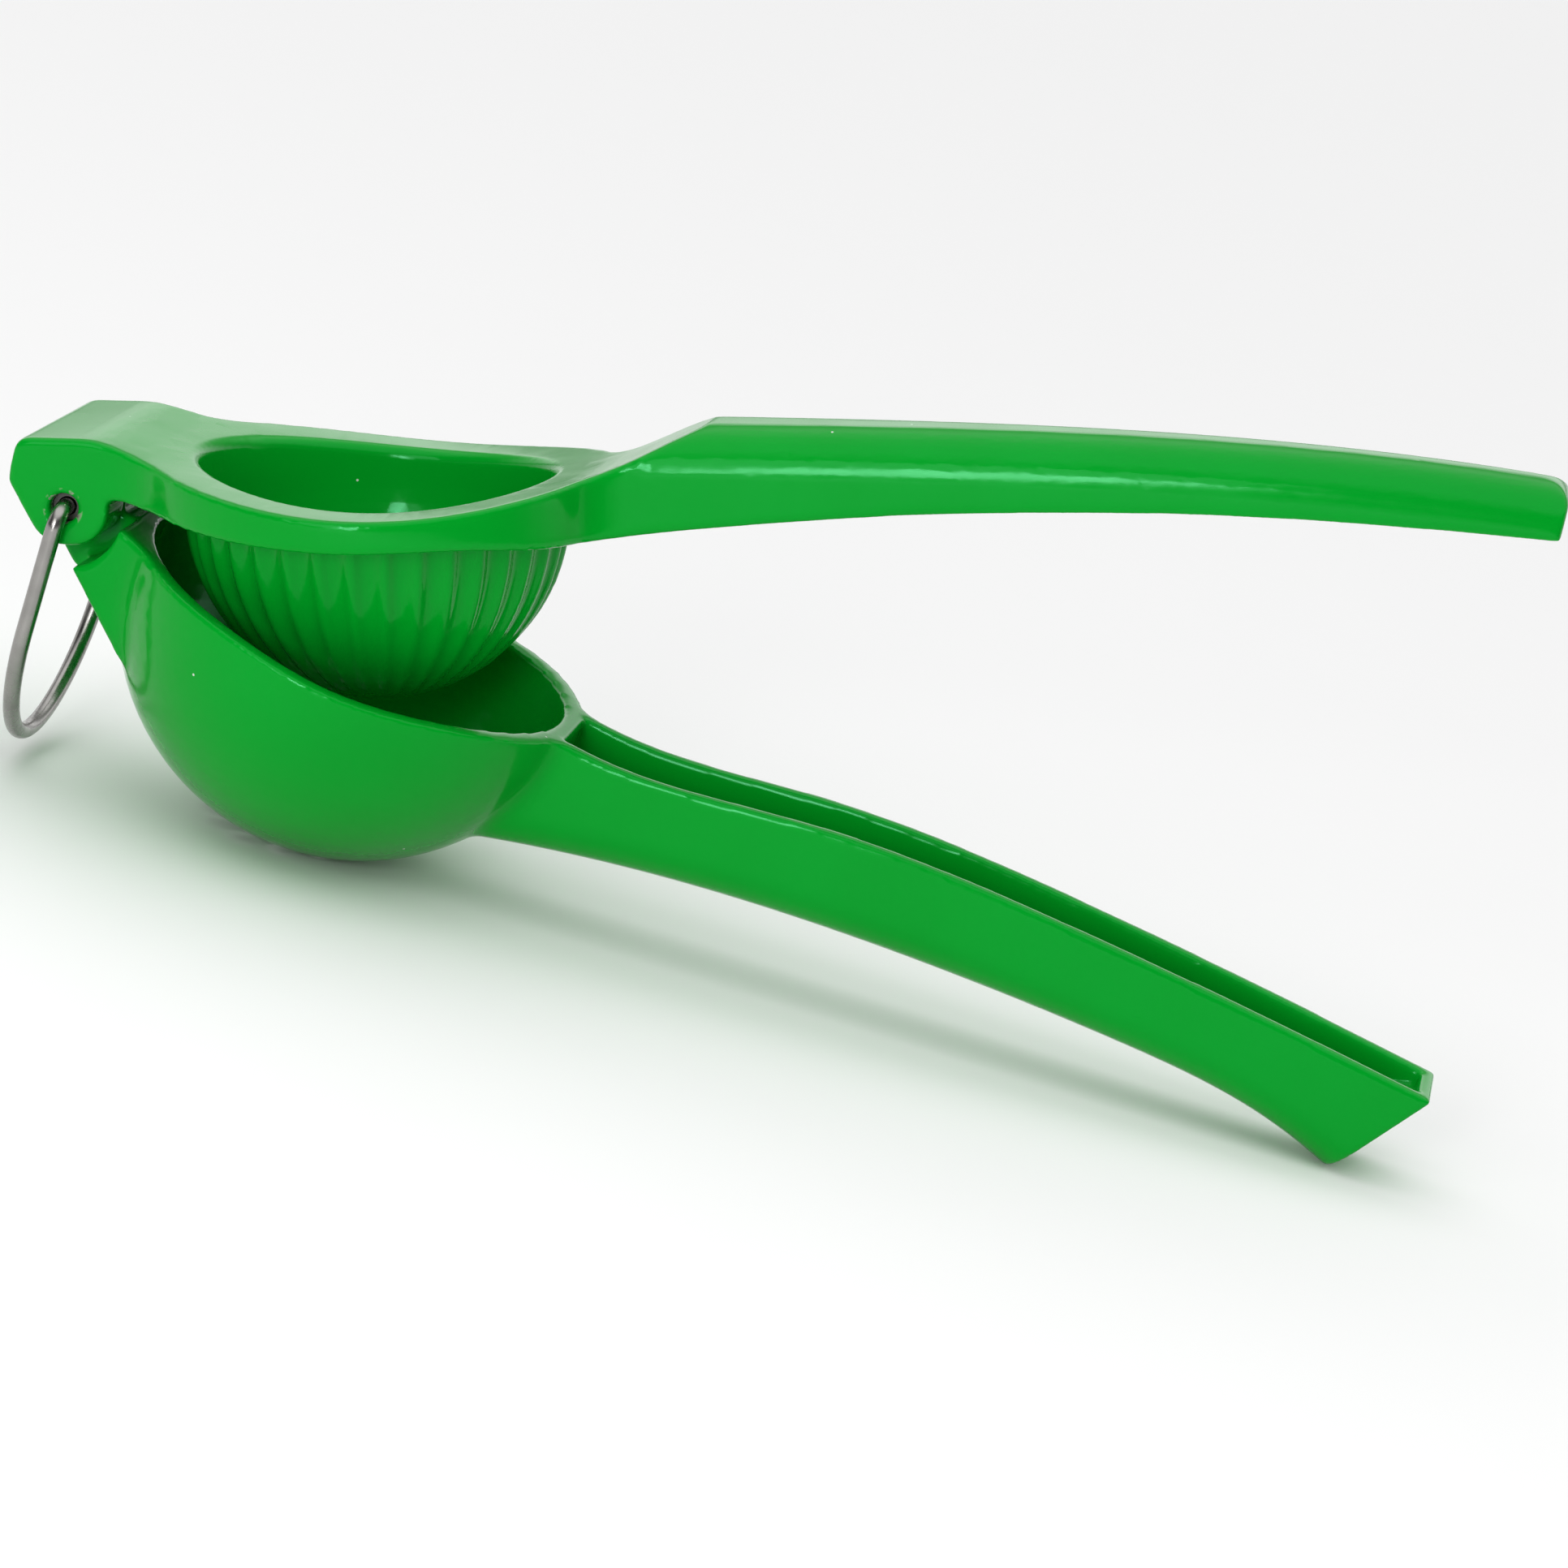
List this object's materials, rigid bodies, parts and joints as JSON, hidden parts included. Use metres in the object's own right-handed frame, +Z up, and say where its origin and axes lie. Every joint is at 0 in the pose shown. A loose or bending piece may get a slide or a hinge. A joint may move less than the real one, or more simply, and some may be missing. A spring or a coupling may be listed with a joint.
{
  "type": "hand lime squeezer",
  "caption": "Hand-held citrus press with hinged enamelled arms, a ribbed press cup over a drained bowl, grip handles and a wire hanging ring at the hinge.",
  "frame": {"origin": "middle of the flat land under the bowl, on the table", "axes": "+X from the bowl to the handle tips along the table, +Y across the arms, +Z up from the table"},
  "size_m": [0.2105, 0.068, 0.1],
  "materials": {
    "enamel": "gloss",
    "steel": "satin"
  },
  "bodies": {
    "lower_arm": {"bowl_arm": "enamel", "hinge_pin": "steel"},
    "upper_arm": {"press_arm": "enamel"},
    "ring": {"hanging_ring": "steel"}
  },
  "joints": [
    {"name": "press_hinge", "type": "hinge", "parent": "lower_arm", "child": "upper_arm", "pos_m": [-0.04085, 0, 0.03995], "axis": [0, -1, 0], "range_deg": [-21.8, 100]},
    {"name": "ring_swing", "type": "hinge", "parent": "lower_arm", "child": "ring", "pos_m": [-0.04085, 0, 0.03995], "axis": [0, 1, 0], "range_deg": [-24, 95]}
  ]
}
